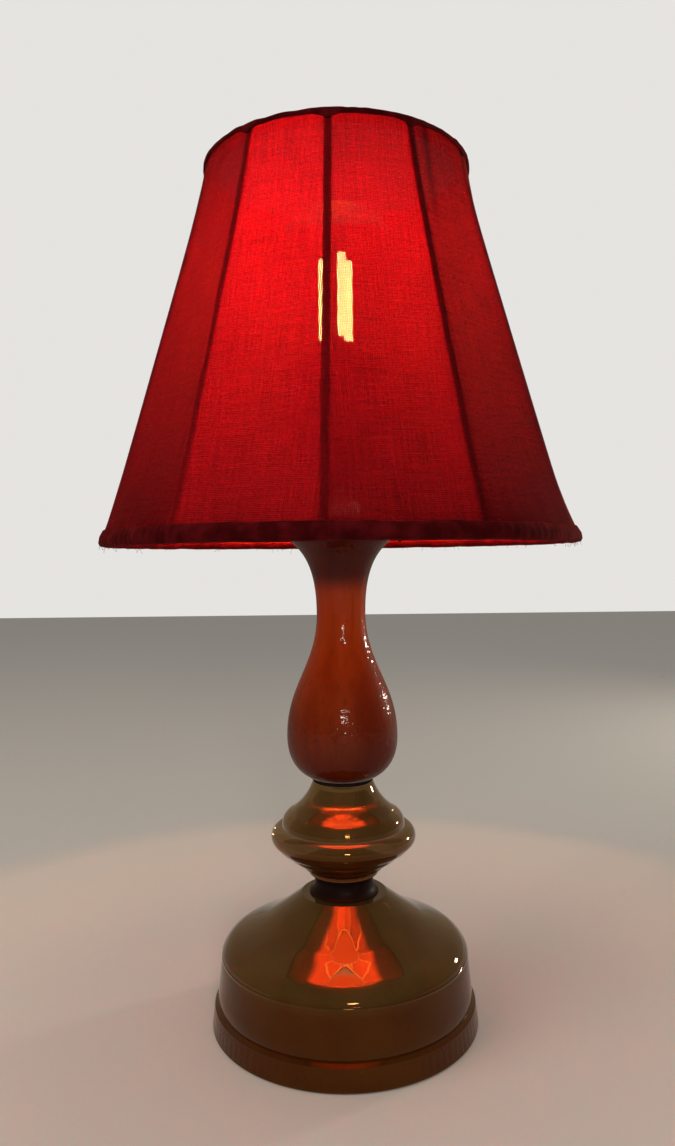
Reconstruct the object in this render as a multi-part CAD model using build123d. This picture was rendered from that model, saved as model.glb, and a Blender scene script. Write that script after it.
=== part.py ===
from build123d import *
import os
from math import cos, radians, sin

# A table lamp: a smoked glass foot and knob, a turned wooden column, a lampholder with its bulb,
# and a cloth shade stretched over a welded wire frame.
# Millimetres. The origin is the centre of the foot's underside, +Z is up, and the cord inlet faces +Y.

# Fits
thread_gap = 0.05  # a thread in its mate, on the radius
slip_gap = 0.4  # the tube in the pieces threaded on it
seat_gap = 0.3  # round faces that lie close without a fit

# Tube that holds the stack together
tube_radius = 5.0
tube_wall = 1.0
tube_below_nut = 4.0
nut_across_flats = 17.0
nut_height = 6.0

# Glass foot
foot_radius = 62.4
foot_band_height = 10.2
foot_band_inset = 1.2
foot_edge_chamfer = 0.8
groove_inset = 3.2
groove_height = 2.6
wall_low_inset = 2.6
wall_top_inset = 4.8
wall_top_height = 34.0
shoulder_reach = 6.5
shoulder_rise = 6.5
cone_middle_radius = 39.0
cone_middle_drop = 13.5
cone_bend_radius = 28.0
cone_bend_drop = 6.1
base_neck_radius = 20.0
base_height = 59.5
base_wall = 3.8

# Cord inlet in the foot's rear wall
inlet_height = 22.0
inlet_bore_radius = 3.2
inlet_shank_radius = 4.8
inlet_flange_radius = 7.4
inlet_flange = 1.6

# Washers and gaskets
rubber_washer_radius = 15.0
rubber_washer_height = 1.5
steel_washer_radius = 13.0
steel_washer_height = 1.5
gasket_height = 0.6
gasket_inset = 0.8
wood_gasket_height = 2.2
wood_gasket_radius = 13.9

# Collar between foot and knob
collar_radius = 15.0
collar_waist_radius = 13.8
collar_foot_radius = 16.2
collar_height = 8.3

# Glass knob
knob_radius = 34.1
knob_height = 43.0
knob_bead_radius = 5.0
knob_bead_height = 17.6
knob_foot_radius = 16.4
knob_foot_height = 1.4
knob_shoulder_radius = 28.9
knob_shoulder_rise = 4.6
knob_swell_radius = 27.8
knob_swell_rise = 9.2
knob_turn_radius = 24.6
knob_turn_drop = 13.6
knob_throat_radius = 18.2
knob_throat_drop = 7.4
knob_neck_radius = 14.3
knob_wall = 3.6
knob_ridge_count = 3
knob_ridge_height = 0.5

# Turned wooden column
wood_height = 121.8
wood_foot_radius = 15.5
wood_bulge_radius = 26.1
wood_bulge_height = 19.3
wood_neck_radius = 11.5
wood_neck_height = 76.9
wood_mouth_radius = 20.7
wood_mouth_drop = 13.6
wood_lip_radius = 25.0
wood_lip_drop = 5.9
wood_lip_swell = 0.8
wood_top_radius = 19.0

# Top fixings
top_washer_radius = 12.0
top_washer_height = 1.2
riser_radius = 6.6
riser_height = 6.5
riser_bore_gap = 0.4

# Lampholder
boss_radius = 8.6
boss_height = 8.0
tube_in_holder = 9.0
cap_height = 26.0
cap_dome_height = 7.0
cap_wall = 2.0
grub_radius = 2.0
grub_socket_radius = 0.8
insert_margin = 1.7
insert_height = 12.0
terminal_spacing = 17.0
terminal_head_radius = 2.9
terminal_head_height = 1.8
terminal_shank_radius = 1.5
terminal_shank_length = 6.0
terminal_slot_width = 0.7
spigot_length = 7.0
flange_reach = 3.8
flange_height = 3.0
skirt_thread = 1.1
skirt_height = 35.5
skirt_mouth_gap = 1.6
skirt_wall = 2.2
shell_gap = 0.4
shell_wall = 0.4
shell_height = 23.0
contact_width = 5.0
contact_length = 12.0
contact_strip = 0.5
contact_rise = 1.6
side_contact_height = 7.0

# Clamping ring
clamp_reach = 6.7
clamp_height = 7.5
clamp_notches = 8
clamp_notch_radius = 2.4

# Shade frame
fitter_hole_gap = 0.6
fitter_reach = 7.2
fitter_plate = 2.0
arm_count = 3
arm_wire_radius = 1.5
arm_level_reach = 52.0
arm_bend_radius = 14.0
fitter_above_ring = 52.5
ring_wire_radius = 1.5
rib_wire_radius = 1.25
wire_sides = 6
rib_count = 11
rib_turn = -93.0

# Shade cover, its outside line at the ribs
shade_height = 169.8
shade_top_radius = 60.6
shade_bottom_radius = 108.9
side_upper_radius = 74.3
side_upper_drop = 53.0
side_lower_radius = 96.2
side_lower_rise = 41.0
fabric_wall = 0.8
fabric_section_count = 9
panel_flatness = 0.94

# Bindings
binding_wall = 0.9
top_binding_drop = 4.5
hem_rise = 6.5
hem_tuck = 5.0

# Bulb
bulb_radius = 30.0
bulb_length = 105.0
bulb_wall = 0.9
bulb_neck_radius = 14.4
bulb_throat_angle = 28.0
bulb_seal = 3.0
bulb_neck_height = 31.0
bulb_cap_radius = 13.1
bulb_cap_height = 22.0
bulb_cap_wall = 0.3
bulb_insulator_height = 3.0
bulb_contact_radius = 4.6
bulb_contact_height = 1.2
filament_length = 38.0
filament_radius = 0.9
filament_height = 42.5
filament_count = 3
filament_circle = 7.3
filament_turn = 165.0
stem_neck_radius = 4.5
stem_tip_radius = 2.2
stem_height = 36.0
lead_radius = 0.4


# Heights of the stack, each worked out from the piece below it
collar_z = base_height + gasket_height
knob_z = collar_z + collar_height + gasket_height
wood_z = knob_z + knob_height + wood_gasket_height
wood_top_z = wood_z + wood_height
top_nut_z = wood_top_z + top_washer_height
riser_z = top_nut_z + nut_height
holder_z = riser_z + riser_height
flange_z = holder_z + cap_height
fitter_z = flange_z + flange_height
insert_top_z = flange_z - seat_gap
bulb_z = insert_top_z + contact_strip + contact_rise
base_ceiling_z = base_height - base_wall
base_nut_z = base_ceiling_z - rubber_washer_height - steel_washer_height - nut_height
tube_bottom_z = base_nut_z - tube_below_nut
tube_top_z = holder_z + tube_in_holder
bottom_ring_z = fitter_z - fitter_above_ring
bore_radius = tube_radius + slip_gap

# Radii of the lampholder, each worked out from the bulb's cap inside it
shell_radius = bulb_cap_radius + shell_gap
shell_outside = shell_radius + shell_wall
insert_radius = shell_outside + contact_strip + insert_margin
spigot_radius = insert_radius + skirt_wall
skirt_radius = spigot_radius + skirt_thread
cap_radius = spigot_radius + cap_wall
flange_radius = skirt_radius + flange_reach
clamp_radius = skirt_radius + clamp_reach
fitter_radius = skirt_radius + fitter_reach


def turned(*lines):
    """Turns one side's closed outline, radius against height, about the lamp's axis."""
    return revolve(Plane.XZ * make_face(Curve() + list(lines)), Axis.Z)


def ring(outer, inner, low, height):
    """A plain ring on the lamp's axis."""
    return Pos(0, 0, low) * extrude(Circle(outer) - Circle(inner), height)


def hex_nut(low):
    """A hexagon nut on the tube."""
    outside = RegularPolygon(nut_across_flats / 2, 6, major_radius=False)
    return Pos(0, 0, low) * extrude(outside - Circle(tube_radius + thread_gap), nut_height)


def spread(piece, count, first=0.0):
    """Copies of a piece at even turns about the lamp's axis."""
    return [Rot(0, 0, first + 360 * i / count) * piece for i in range(count)]


def group(pieces):
    """Separate solids that share one node."""
    return Compound(children=[solid for piece in pieces for solid in piece.solids()])


def post(radius, height):
    """A round bar that stands on the level plane."""
    return Cylinder(radius, height, align=(Align.CENTER, Align.CENTER, Align.MIN))


def inwards(point, along, distance):
    """Moves a point of a side's outline off that side, square to the line that runs down it."""
    way = Vector(*along).normalized()
    return Vector(*point) + Vector(way.Y, -way.X) * distance


# The glass foot. Inside, it follows the outside at the wall's thickness, with a plain line.

wall_low_radius = foot_radius - wall_low_inset
wall_top_radius = foot_radius - wall_top_inset
wall_low_height = foot_band_height + groove_height


def base_crown(inset):
    """Neck, cone and shoulder of the foot, down to the top of its wall, set in by inset."""
    neck = Vector(base_neck_radius, base_height)
    bend = Vector(cone_bend_radius, base_height - cone_bend_drop)
    middle = Vector(cone_middle_radius, base_height - cone_middle_drop)
    wall_top = Vector(wall_top_radius, wall_top_height)
    shoulder = wall_top + Vector(-shoulder_reach, shoulder_rise)
    hollow_bend = inwards(bend, middle - neck, inset)
    hollow_end = inwards(middle, shoulder - bend, inset)
    hollow = ThreePointArc(neck - Vector(0, inset), hollow_bend, hollow_end)
    slope = Line(hollow @ 1, inwards(shoulder, shoulder - middle, inset))
    turn = TangentArc(slope @ 1, wall_top - Vector(inset, 0), tangent=slope % 1)
    return hollow, slope, turn


def glass_base():
    hollow, slope, turn = base_crown(0)
    groove_top = (wall_low_radius, wall_low_height)
    groove_middle = (foot_radius - groove_inset, foot_band_height + groove_height / 2)
    band_top = (foot_radius - foot_band_inset, foot_band_height)
    foot = (foot_radius, foot_edge_chamfer)
    tread = (foot_radius - foot_edge_chamfer, 0)
    inner_hollow, inner_slope, inner_turn = base_crown(base_wall)
    inner_tread = (foot_radius - base_wall, 0)
    glass = turned(
        Line((bore_radius, base_height), hollow @ 0),
        hollow,
        slope,
        turn,
        Line(turn @ 1, groove_top),
        Line(groove_top, groove_middle),
        Line(groove_middle, band_top),
        Line(band_top, foot),
        Line(foot, tread),
        Line(tread, inner_tread),
        Line(inner_tread, inner_turn @ 1),
        inner_turn,
        inner_slope,
        inner_hollow,
        Line(inner_hollow @ 0, (bore_radius, base_ceiling_z)),
        Line((bore_radius, base_ceiling_z), (bore_radius, base_height)),
    )
    return glass - inlet_place() * post(inlet_shank_radius + seat_gap, foot_radius)


def inlet_place():
    """The cord inlet's line, out through the rear wall."""
    return Pos(0, 0, inlet_height) * Rot(-90, 0, 0)


def wall_radius_at(height):
    """Outside radius of the foot's straight wall."""
    share = (height - wall_low_height) / (wall_top_height - wall_low_height)
    return wall_low_radius + share * (wall_top_radius - wall_low_radius)


def inner_radius_at(height):
    """Inside radius of the foot's wall."""
    low = foot_radius - base_wall
    share = height / wall_top_height
    return low + share * (wall_top_radius - base_wall - low)


def cord_bush():
    outer_face = wall_radius_at(inlet_height - inlet_flange_radius) + seat_gap
    inner_edge = inner_radius_at(inlet_height + inlet_flange_radius)
    inner_face = (inner_edge**2 - inlet_flange_radius**2) ** 0.5 - seat_gap
    outside = ring(inlet_flange_radius, inlet_bore_radius, outer_face, inlet_flange)
    shank = ring(inlet_shank_radius, inlet_bore_radius, inner_face, outer_face - inner_face)
    inside = ring(inlet_flange_radius, inlet_bore_radius, inner_face - inlet_flange, inlet_flange)
    return inlet_place() * (outside + shank + inside)


# Collar, knob and column


def lower_collar():
    foot = (collar_foot_radius, collar_z)
    waist = (collar_waist_radius, collar_z + collar_height / 2)
    top = (collar_radius, collar_z + collar_height)
    return turned(
        Line((bore_radius, collar_z), foot),
        ThreePointArc(foot, waist, top),
        Line(top, (bore_radius, top[1])),
        Line((bore_radius, top[1]), (bore_radius, collar_z)),
    )


knob_bead_z = knob_z + knob_bead_height


def knob_underside():
    """The knob's lower slope with its moulded ridges, from the foot out to the bead."""
    start = Vector(knob_foot_radius, knob_z + knob_foot_height)
    bead_centre = Vector(knob_radius - knob_bead_radius, knob_bead_z)
    end = bead_centre + Vector(1, -1).normalized() * knob_bead_radius
    along = (end - start).normalized()
    pitch = (end - start).length / knob_ridge_count
    points = [start]
    for i in range(knob_ridge_count):
        points.append(inwards(start + along * (pitch * (i + 0.5)), along, knob_ridge_height))
        points.append(start + along * (pitch * (i + 1)))
    return Polyline(*points)


def glass_knob():
    under = knob_underside()
    foot = (knob_foot_radius, knob_z)
    shoulder = Vector(knob_shoulder_radius, knob_bead_z + knob_shoulder_rise)
    swell = Vector(knob_swell_radius, knob_bead_z + knob_swell_rise)
    turn = Vector(knob_turn_radius, knob_z + knob_height - knob_turn_drop)
    throat = Vector(knob_throat_radius, knob_z + knob_height - knob_throat_drop)
    neck = Vector(knob_neck_radius, knob_z + knob_height)
    hollow_top = Vector(knob_neck_radius - knob_wall, neck.Y - knob_wall)
    hollow_throat = inwards(throat, turn - neck, knob_wall)
    hollow_wide = Vector(knob_shoulder_radius - knob_wall, knob_bead_z)
    hollow_foot = Vector(knob_foot_radius - knob_wall, knob_z + knob_foot_height + knob_wall)
    return turned(
        Line((bore_radius, knob_z), foot),
        Line(foot, under @ 0),
        under,
        ThreePointArc(under @ 1, (knob_radius, knob_bead_z), shoulder),
        ThreePointArc(shoulder, swell, turn),
        ThreePointArc(turn, throat, neck),
        Line(neck, (bore_radius, neck.Y)),
        Line((bore_radius, neck.Y), (bore_radius, hollow_top.Y)),
        Line((bore_radius, hollow_top.Y), hollow_top),
        Line(hollow_top, hollow_throat),
        ThreePointArc(hollow_throat, hollow_wide, hollow_foot),
        Line(hollow_foot, (bore_radius, hollow_foot.Y)),
        Line((bore_radius, hollow_foot.Y), (bore_radius, knob_z)),
    )


def wood_column():
    foot = (wood_foot_radius, wood_z)
    bulge = (wood_bulge_radius, wood_z + wood_bulge_height)
    neck = (wood_neck_radius, wood_z + wood_neck_height)
    mouth = (wood_mouth_radius, wood_top_z - wood_mouth_drop)
    lip = (wood_lip_radius, wood_top_z - wood_lip_drop)
    top = (wood_top_radius, wood_top_z)
    lip_swell = ((lip[0] + top[0]) / 2 + wood_lip_swell, (lip[1] + top[1]) / 2 + wood_lip_swell)
    up = (0, 1)
    outwards = (2, 1)
    return turned(
        Line((bore_radius, wood_z), foot),
        Spline(foot, bulge, tangents=[outwards, up]),
        Spline(bulge, neck, tangents=[up, up]),
        Spline(neck, mouth, lip, tangents=[up, up]),
        ThreePointArc(lip, lip_swell, top),
        Line(top, (bore_radius, wood_top_z)),
        Line((bore_radius, wood_top_z), (bore_radius, wood_z)),
    )


# Lampholder


def holder_cap():
    thread_radius = tube_radius + thread_gap
    boss_top_z = holder_z + boss_height
    dome_foot_z = boss_top_z - cap_wall
    dome_top_z = boss_top_z + cap_dome_height
    insert_z = insert_top_z - insert_height
    spigot_seat_z = flange_z - spigot_length - seat_gap
    dome = ThreePointArc(
        (boss_radius, dome_foot_z),
        ((boss_radius + cap_radius) / 2 + cap_wall, (dome_foot_z + dome_top_z) / 2 - cap_wall / 2),
        (cap_radius, dome_top_z),
    )
    cup = turned(
        Line((thread_radius, holder_z), (boss_radius, holder_z)),
        Line((boss_radius, holder_z), dome @ 0),
        dome,
        Line(dome @ 1, (cap_radius, flange_z)),
        Polyline(
            (cap_radius, flange_z),
            (spigot_radius + thread_gap, flange_z),
            (spigot_radius + thread_gap, spigot_seat_z),
            (insert_radius + thread_gap, spigot_seat_z),
            (insert_radius + thread_gap, insert_z),
            (insert_radius - cap_wall, insert_z),
            (boss_radius, boss_top_z),
            (thread_radius, boss_top_z),
            (thread_radius, holder_z),
        ),
    )
    return cup - grub_place() * post(grub_radius + thread_gap, boss_radius + cap_wall)


def grub_place():
    """Where the grub screw lies, pointing out of the boss."""
    return Pos(0, 0, holder_z + (boss_height - cap_wall) / 2) * Rot(-90, 0, 0)


def holder_grub_screw():
    """A set screw whose narrow tip presses on the tube."""
    tip_length = 2 * seat_gap
    screw_length = boss_radius - tube_radius - tip_length
    screw = ring(grub_radius, grub_socket_radius, tube_radius + tip_length, screw_length)
    tip = Pos(0, 0, tube_radius) * post((grub_radius + grub_socket_radius) / 2, 2 * tip_length)
    return grub_place() * (screw + tip)


def terminal_places():
    return [Pos(side * terminal_spacing / 2, 0, insert_top_z - insert_height) for side in (-1, 1)]


def holder_insert():
    core = ring(insert_radius - seat_gap, tube_radius, insert_top_z - insert_height, insert_height)
    for place in terminal_places():
        core -= place * post(terminal_shank_radius + thread_gap, terminal_shank_length + seat_gap)
    return core


def holder_terminal_screws():
    head = Pos(0, 0, -terminal_head_height) * post(terminal_head_radius, terminal_head_height)
    slot = Pos(0, 0, -terminal_head_height) * Box(
        terminal_head_radius * 2, terminal_slot_width, terminal_head_height
    )
    screw = head + post(terminal_shank_radius, terminal_shank_length) - slot
    return group([place * screw for place in terminal_places()])


def holder_skirt():
    top_z = flange_z + skirt_height
    mouth_radius = shell_radius + skirt_mouth_gap
    return turned(
        Polyline(
            (insert_radius, flange_z - spigot_length),
            (spigot_radius, flange_z - spigot_length),
            (spigot_radius, flange_z),
            (flange_radius, flange_z),
            (flange_radius, fitter_z),
            (skirt_radius, fitter_z),
            (skirt_radius, top_z - skirt_wall),
            (mouth_radius + skirt_wall, top_z),
            (mouth_radius, top_z),
            (mouth_radius, top_z - skirt_wall),
            (insert_radius, top_z - 2 * skirt_wall),
            (insert_radius, flange_z - spigot_length),
        )
    )


def holder_screw_shell():
    side = ring(shell_outside, shell_radius, insert_top_z, shell_height)
    floor_hole = contact_length / 2 + contact_strip + seat_gap
    floor = ring(shell_outside, floor_hole, insert_top_z, shell_wall)
    return side + floor


def holder_centre_contact():
    """A bent strip whose raised middle meets the bulb's contact."""
    half = contact_length / 2
    flat = contact_width / 2
    low = insert_top_z + contact_strip
    top = low + contact_rise
    strip = Polyline(
        (-half, insert_top_z),
        (-half, low),
        (-flat - contact_rise, low),
        (-flat, top),
        (flat, top),
        (flat + contact_rise, low),
        (half, low),
        (half, insert_top_z),
        (flat + contact_rise - contact_strip, insert_top_z),
        (flat - contact_strip, top - contact_strip),
        (contact_strip - flat, top - contact_strip),
        (contact_strip - flat - contact_rise, insert_top_z),
        close=True,
    )
    return Pos(0, contact_width / 2, 0) * extrude(Plane.XZ * make_face(strip), contact_width)


def holder_side_contact():
    """A small angle that stands on the insert against the screw shell."""
    inside = shell_outside + thread_gap
    bottom = (Align.MIN, Align.CENTER, Align.MIN)
    upright = Box(contact_strip, contact_width, side_contact_height, align=bottom)
    foot = Box(insert_margin - seat_gap, contact_width, contact_strip, align=bottom)
    return Rot(0, 0, 90) * Pos(inside, 0, insert_top_z) * (upright + foot)


# Shade


def shade_side(inset):
    """Upper arc, straight and lower arc of the shade's side, top to bottom, moved in by inset."""
    top_z = bottom_ring_z + shade_height
    upper_end = (side_upper_radius, top_z - side_upper_drop)
    lower_end = (side_lower_radius, bottom_ring_z + side_lower_rise)
    straight = Line(upper_end, lower_end)
    upper = TangentArc(straight @ 0, (shade_top_radius, top_z), tangent=(straight % 0) * -1)
    lower = TangentArc(straight @ 1, (shade_bottom_radius, bottom_ring_z), tangent=straight % 1)
    start = inwards(straight @ 0, straight % 0, inset)
    end = inwards(straight @ 1, straight % 1, inset)
    top = inwards(upper @ 1, (upper % 1) * -1, inset)
    bottom = inwards(lower @ 1, lower % 1, inset)
    return (
        TangentArc(start, top, tangent=(straight % 0) * -1),
        Line(start, end),
        TangentArc(end, bottom, tangent=straight % 1),
    )


def side_stations(inset, count):
    """Evenly spaced points down the shade's side."""
    side = Wire(list(shade_side(inset)))
    points = [side @ (i / (count - 1)) for i in range(count)]
    return sorted(points, key=lambda point: -point.Y)


def rib_angles():
    return [radians(rib_turn + 360 * i / rib_count) for i in range(rib_count)]


def panel_section(radius, height, roundness):
    """One level line of the cover: straight between ribs in the middle, round at the rings."""
    angles = rib_angles()
    half = radians(180 / rib_count)
    chord = radius * cos(half)
    middle = chord + (radius - chord) * roundness
    edges = []
    for angle in angles:
        start = (radius * cos(angle), radius * sin(angle), height)
        between = (middle * cos(angle + half), middle * sin(angle + half), height)
        end = (radius * cos(angle + 2 * half), radius * sin(angle + 2 * half), height)
        edges.append(ThreePointArc(start, between, end))
    return Wire(edges)


def cover_solid(inset, overshoot):
    """The cover's shape filled in, set in by inset, its two ends moved out by overshoot."""
    stations = side_stations(inset, fabric_section_count)
    stations[0] = Vector(stations[0].X, bottom_ring_z + shade_height + overshoot)
    stations[-1] = Vector(stations[-1].X, bottom_ring_z - overshoot)
    sections = []
    for i, point in enumerate(stations):
        from_middle = abs(2 * i / (fabric_section_count - 1) - 1)
        roundness = 1 - panel_flatness * (1 - from_middle**4)
        sections.append(panel_section(point.X, point.Y, roundness))
    return Solid.make_loft(sections)


def shade_fabric():
    return cover_solid(0, 0) - cover_solid(fabric_wall, fabric_wall)


ring_inset = fabric_wall + seat_gap + ring_wire_radius


def frame_ends():
    """Where the two ring wires' centres lie, radius against height."""
    upper, straight, lower = shade_side(ring_inset)
    return upper @ 1, lower @ 1


def bent_wire(path, radius):
    """A wire of few sides along a path."""
    section = Plane(origin=path @ 0, z_dir=path % 0) * RegularPolygon(radius, wire_sides)
    return sweep(section, path=path)


def ring_wire(centre):
    """A wire ring, its section as few-sided as the other wires'."""
    section = Rot(0, 0, 180 / wire_sides) * RegularPolygon(ring_wire_radius, wire_sides)
    section = Pos(centre.X, centre.Y) * section
    return revolve(Plane.XZ * section, Axis.Z)


def shade_top_ring():
    top, bottom = frame_ends()
    return ring_wire(top)


def shade_bottom_ring():
    top, bottom = frame_ends()
    return ring_wire(bottom)


def shade_ribs():
    """Bent wires, each saddled against the two rings that it is welded to."""
    path = Plane.XZ * Wire(list(shade_side(ring_inset)))
    rib = bent_wire(path, rib_wire_radius) - shade_top_ring() - shade_bottom_ring()
    return group(spread(rib, rib_count, rib_turn))


def shade_fitter():
    """The plate that sits on the lampholder's flange, with its arms down to the bottom ring."""
    top, bottom = frame_ends()
    level = fitter_z + fitter_plate - arm_wire_radius
    path = Plane.XZ * FilletPolyline(
        (fitter_radius - arm_wire_radius, level),
        (arm_level_reach, level),
        (bottom.X, bottom.Y),
        radius=arm_bend_radius,
    )
    arm = bent_wire(path, arm_wire_radius) - shade_bottom_ring()
    fitter = ring(fitter_radius, skirt_radius + fitter_hole_gap, fitter_z, fitter_plate)
    for one in spread(arm, arm_count, rib_turn + 180 / rib_count):
        fitter += one
    return fitter


def shade_top_binding():
    """A tape folded over the top ring and down both sides of it."""
    top, bottom = frame_ends()
    upper, straight, lower = shade_side(-seat_gap)
    edge = upper @ 1
    low = upper @ (1 - top_binding_drop / upper.length)
    roof = top.Y + ring_wire_radius + seat_gap
    inner = top.X - ring_wire_radius - seat_gap
    wall = binding_wall
    return turned(
        Polyline(
            (low.X, low.Y),
            (edge.X, edge.Y),
            (edge.X, roof),
            (inner, roof),
            (inner, low.Y),
            (inner - wall, low.Y),
            (inner - wall, roof + wall),
            (edge.X + wall, roof + wall),
            (edge.X + wall, edge.Y),
            (low.X + wall, low.Y),
            close=True,
        )
    )


def shade_hem():
    """The sewn hem, folded under the bottom ring."""
    top, bottom = frame_ends()
    upper, straight, lower = shade_side(-seat_gap)
    edge = lower @ 1
    high = lower @ (1 - hem_rise / lower.length)
    floor = bottom.Y - ring_wire_radius - seat_gap
    inner = bottom.X - hem_tuck
    wall = binding_wall
    return turned(
        Polyline(
            (high.X, high.Y),
            (edge.X, edge.Y),
            (edge.X, floor),
            (inner, floor),
            (inner, floor - wall),
            (edge.X + wall, floor - wall),
            (edge.X + wall, edge.Y),
            (high.X + wall, high.Y),
            close=True,
        )
    )


def shade_ring():
    """The ring that screws down on the fitter, with finger notches round its edge."""
    low = fitter_z + fitter_plate
    body = ring(clamp_radius, skirt_radius + thread_gap, low, clamp_height)
    notch = Pos(clamp_radius, 0, low) * post(clamp_notch_radius, clamp_height)
    for one in spread(notch, clamp_notches):
        body -= one
    return body


# Bulb


def bulb_outline(inset):
    """Throat and ball of the bulb's glass, from the neck up to the crown, set in by inset."""
    radius = bulb_radius - inset
    centre = Vector(0, bulb_z + bulb_length - bulb_radius)
    neck = Vector(bulb_neck_radius - inset, bulb_z + bulb_neck_height)
    ball = CenterArc(centre, radius, -bulb_throat_angle, 90 + bulb_throat_angle)
    throat = Spline(neck, ball @ 0, tangents=[(0, 1), ball % 0])
    return throat, ball


def bulb_glass():
    throat, ball = bulb_outline(0)
    inner_throat, inner_ball = bulb_outline(bulb_wall)
    cap_top_z = bulb_z + bulb_cap_height
    sealed_radius = bulb_cap_radius - bulb_cap_wall - thread_gap
    inner_radius = sealed_radius - bulb_wall
    return turned(
        Line((sealed_radius, cap_top_z - bulb_seal), (sealed_radius, cap_top_z)),
        Line((sealed_radius, cap_top_z), throat @ 0),
        throat,
        ball,
        Line(ball @ 1, inner_ball @ 1),
        inner_ball,
        inner_throat,
        Line(inner_throat @ 0, (inner_radius, cap_top_z)),
        Line((inner_radius, cap_top_z), (inner_radius, cap_top_z - bulb_seal)),
        Line((inner_radius, cap_top_z - bulb_seal), (sealed_radius, cap_top_z - bulb_seal)),
    )


def bulb_cap():
    low = bulb_z + bulb_contact_height + bulb_insulator_height
    return ring(bulb_cap_radius, bulb_cap_radius - bulb_cap_wall, low, bulb_z + bulb_cap_height - low)


def bulb_insulator():
    middle = bulb_z + bulb_contact_height + bulb_insulator_height / 2
    return Pos(0, 0, middle) * Cone(bulb_contact_radius, bulb_cap_radius, bulb_insulator_height)


def bulb_contact():
    return Pos(0, 0, bulb_z) * post(bulb_contact_radius, bulb_contact_height)


def bulb_stem():
    """The glass foot inside the neck, sealed to it and drawn up to the post."""
    low = bulb_z + bulb_cap_height - bulb_seal
    top = bulb_z + stem_height
    foot = (bulb_cap_radius - bulb_cap_wall - bulb_wall - 2 * thread_gap, low)
    tip = (stem_tip_radius, top)
    flare = ThreePointArc(foot, (stem_neck_radius, (low + top) / 2), tip)
    return turned(Line((0, low), foot), flare, Line(tip, (0, top)), Line((0, top), (0, low)))


def filament_places():
    return spread(Pos(filament_circle, 0, bulb_z + filament_height), filament_count, filament_turn)


def bulb_filaments():
    return group([place * post(filament_radius, filament_length) for place in filament_places()])


def bulb_leads():
    """The wire stars that hold the filaments' ends, and the post between them."""
    rod = RegularPolygon(lead_radius, 6)
    low = bulb_z + filament_height - lead_radius
    high = bulb_z + filament_height + filament_length + lead_radius
    stem_top = bulb_z + stem_height
    leads = Pos(0, 0, stem_top) * extrude(rod, high + lead_radius - stem_top)
    for level in (low, high):
        spoke = Pos(0, 0, level) * Rot(0, 90, 0) * extrude(rod, filament_circle)
        for one in spread(spoke, filament_count, filament_turn):
            leads += one
    return leads


def build():
    washer_z = base_ceiling_z - rubber_washer_height
    steel_z = washer_z - steel_washer_height
    knob_gasket_z = knob_z - gasket_height
    wood_gasket_z = wood_z - wood_gasket_height
    tube_length = tube_top_z - tube_bottom_z
    return {
        "glass_base": glass_base(),
        "cord_bush": cord_bush(),
        "base_rubber_washer": ring(rubber_washer_radius, bore_radius, washer_z, rubber_washer_height),
        "base_steel_washer": ring(steel_washer_radius, bore_radius, steel_z, steel_washer_height),
        "base_nut": hex_nut(base_nut_z),
        "base_gasket": ring(collar_foot_radius - gasket_inset, bore_radius, base_height, gasket_height),
        "lower_collar": lower_collar(),
        "knob_gasket": ring(collar_radius - gasket_inset, bore_radius, knob_gasket_z, gasket_height),
        "glass_knob": glass_knob(),
        "wood_gasket": ring(wood_gasket_radius, bore_radius, wood_gasket_z, wood_gasket_height),
        "wood_column": wood_column(),
        "lamp_tube": ring(tube_radius, tube_radius - tube_wall, tube_bottom_z, tube_length),
        "top_washer": ring(top_washer_radius, bore_radius, wood_top_z, top_washer_height),
        "top_nut": hex_nut(top_nut_z),
        "riser_sleeve": ring(riser_radius, tube_radius + riser_bore_gap, riser_z, riser_height),
        "holder_cap": holder_cap(),
        "holder_grub_screw": holder_grub_screw(),
        "holder_insert": holder_insert(),
        "holder_terminal_screws": holder_terminal_screws(),
        "holder_centre_contact": holder_centre_contact(),
        "holder_side_contact": holder_side_contact(),
        "holder_screw_shell": holder_screw_shell(),
        "holder_skirt": holder_skirt(),
        "shade_top_ring": shade_top_ring(),
        "shade_bottom_ring": shade_bottom_ring(),
        "shade_ribs": shade_ribs(),
        "shade_fitter": shade_fitter(),
        "shade_fabric": shade_fabric(),
        "shade_top_binding": shade_top_binding(),
        "shade_hem": shade_hem(),
        "shade_ring": shade_ring(),
        "bulb_glass": bulb_glass(),
        "bulb_cap": bulb_cap(),
        "bulb_insulator": bulb_insulator(),
        "bulb_contact": bulb_contact(),
        "bulb_stem": bulb_stem(),
        "bulb_leads": bulb_leads(),
        "bulb_filaments": bulb_filaments(),
    }


os.makedirs("parts", exist_ok=True)
for name, piece in build().items():
    export_step(piece, f"parts/{name}.step")
    print(name, round(piece.volume, 1))
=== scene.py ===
# %% [markdown]
# # A small lamp with a red cloth shade
# The lamp is a stack on one threaded tube: a smoked glass foot, a dark collar, a smoked glass
# knob and a turned wooden column. The lampholder on top carries a bulb and a wire frame, and a
# thin red cloth is stretched and sewn over that frame.
# The CAD model comes in as a fixed frame in metres. Hard parts whose shape is right stay and get
# a finish. Cloth, tape, smooth wire and threads are made here, because that is what CAD leaves plain.

import random
from math import atan2, cos, degrees, exp, floor, hypot, pi, radians, sin

import bmesh
import bpy
from mathutils import Matrix, Vector, noise
from mathutils.bvhtree import BVHTree


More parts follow.
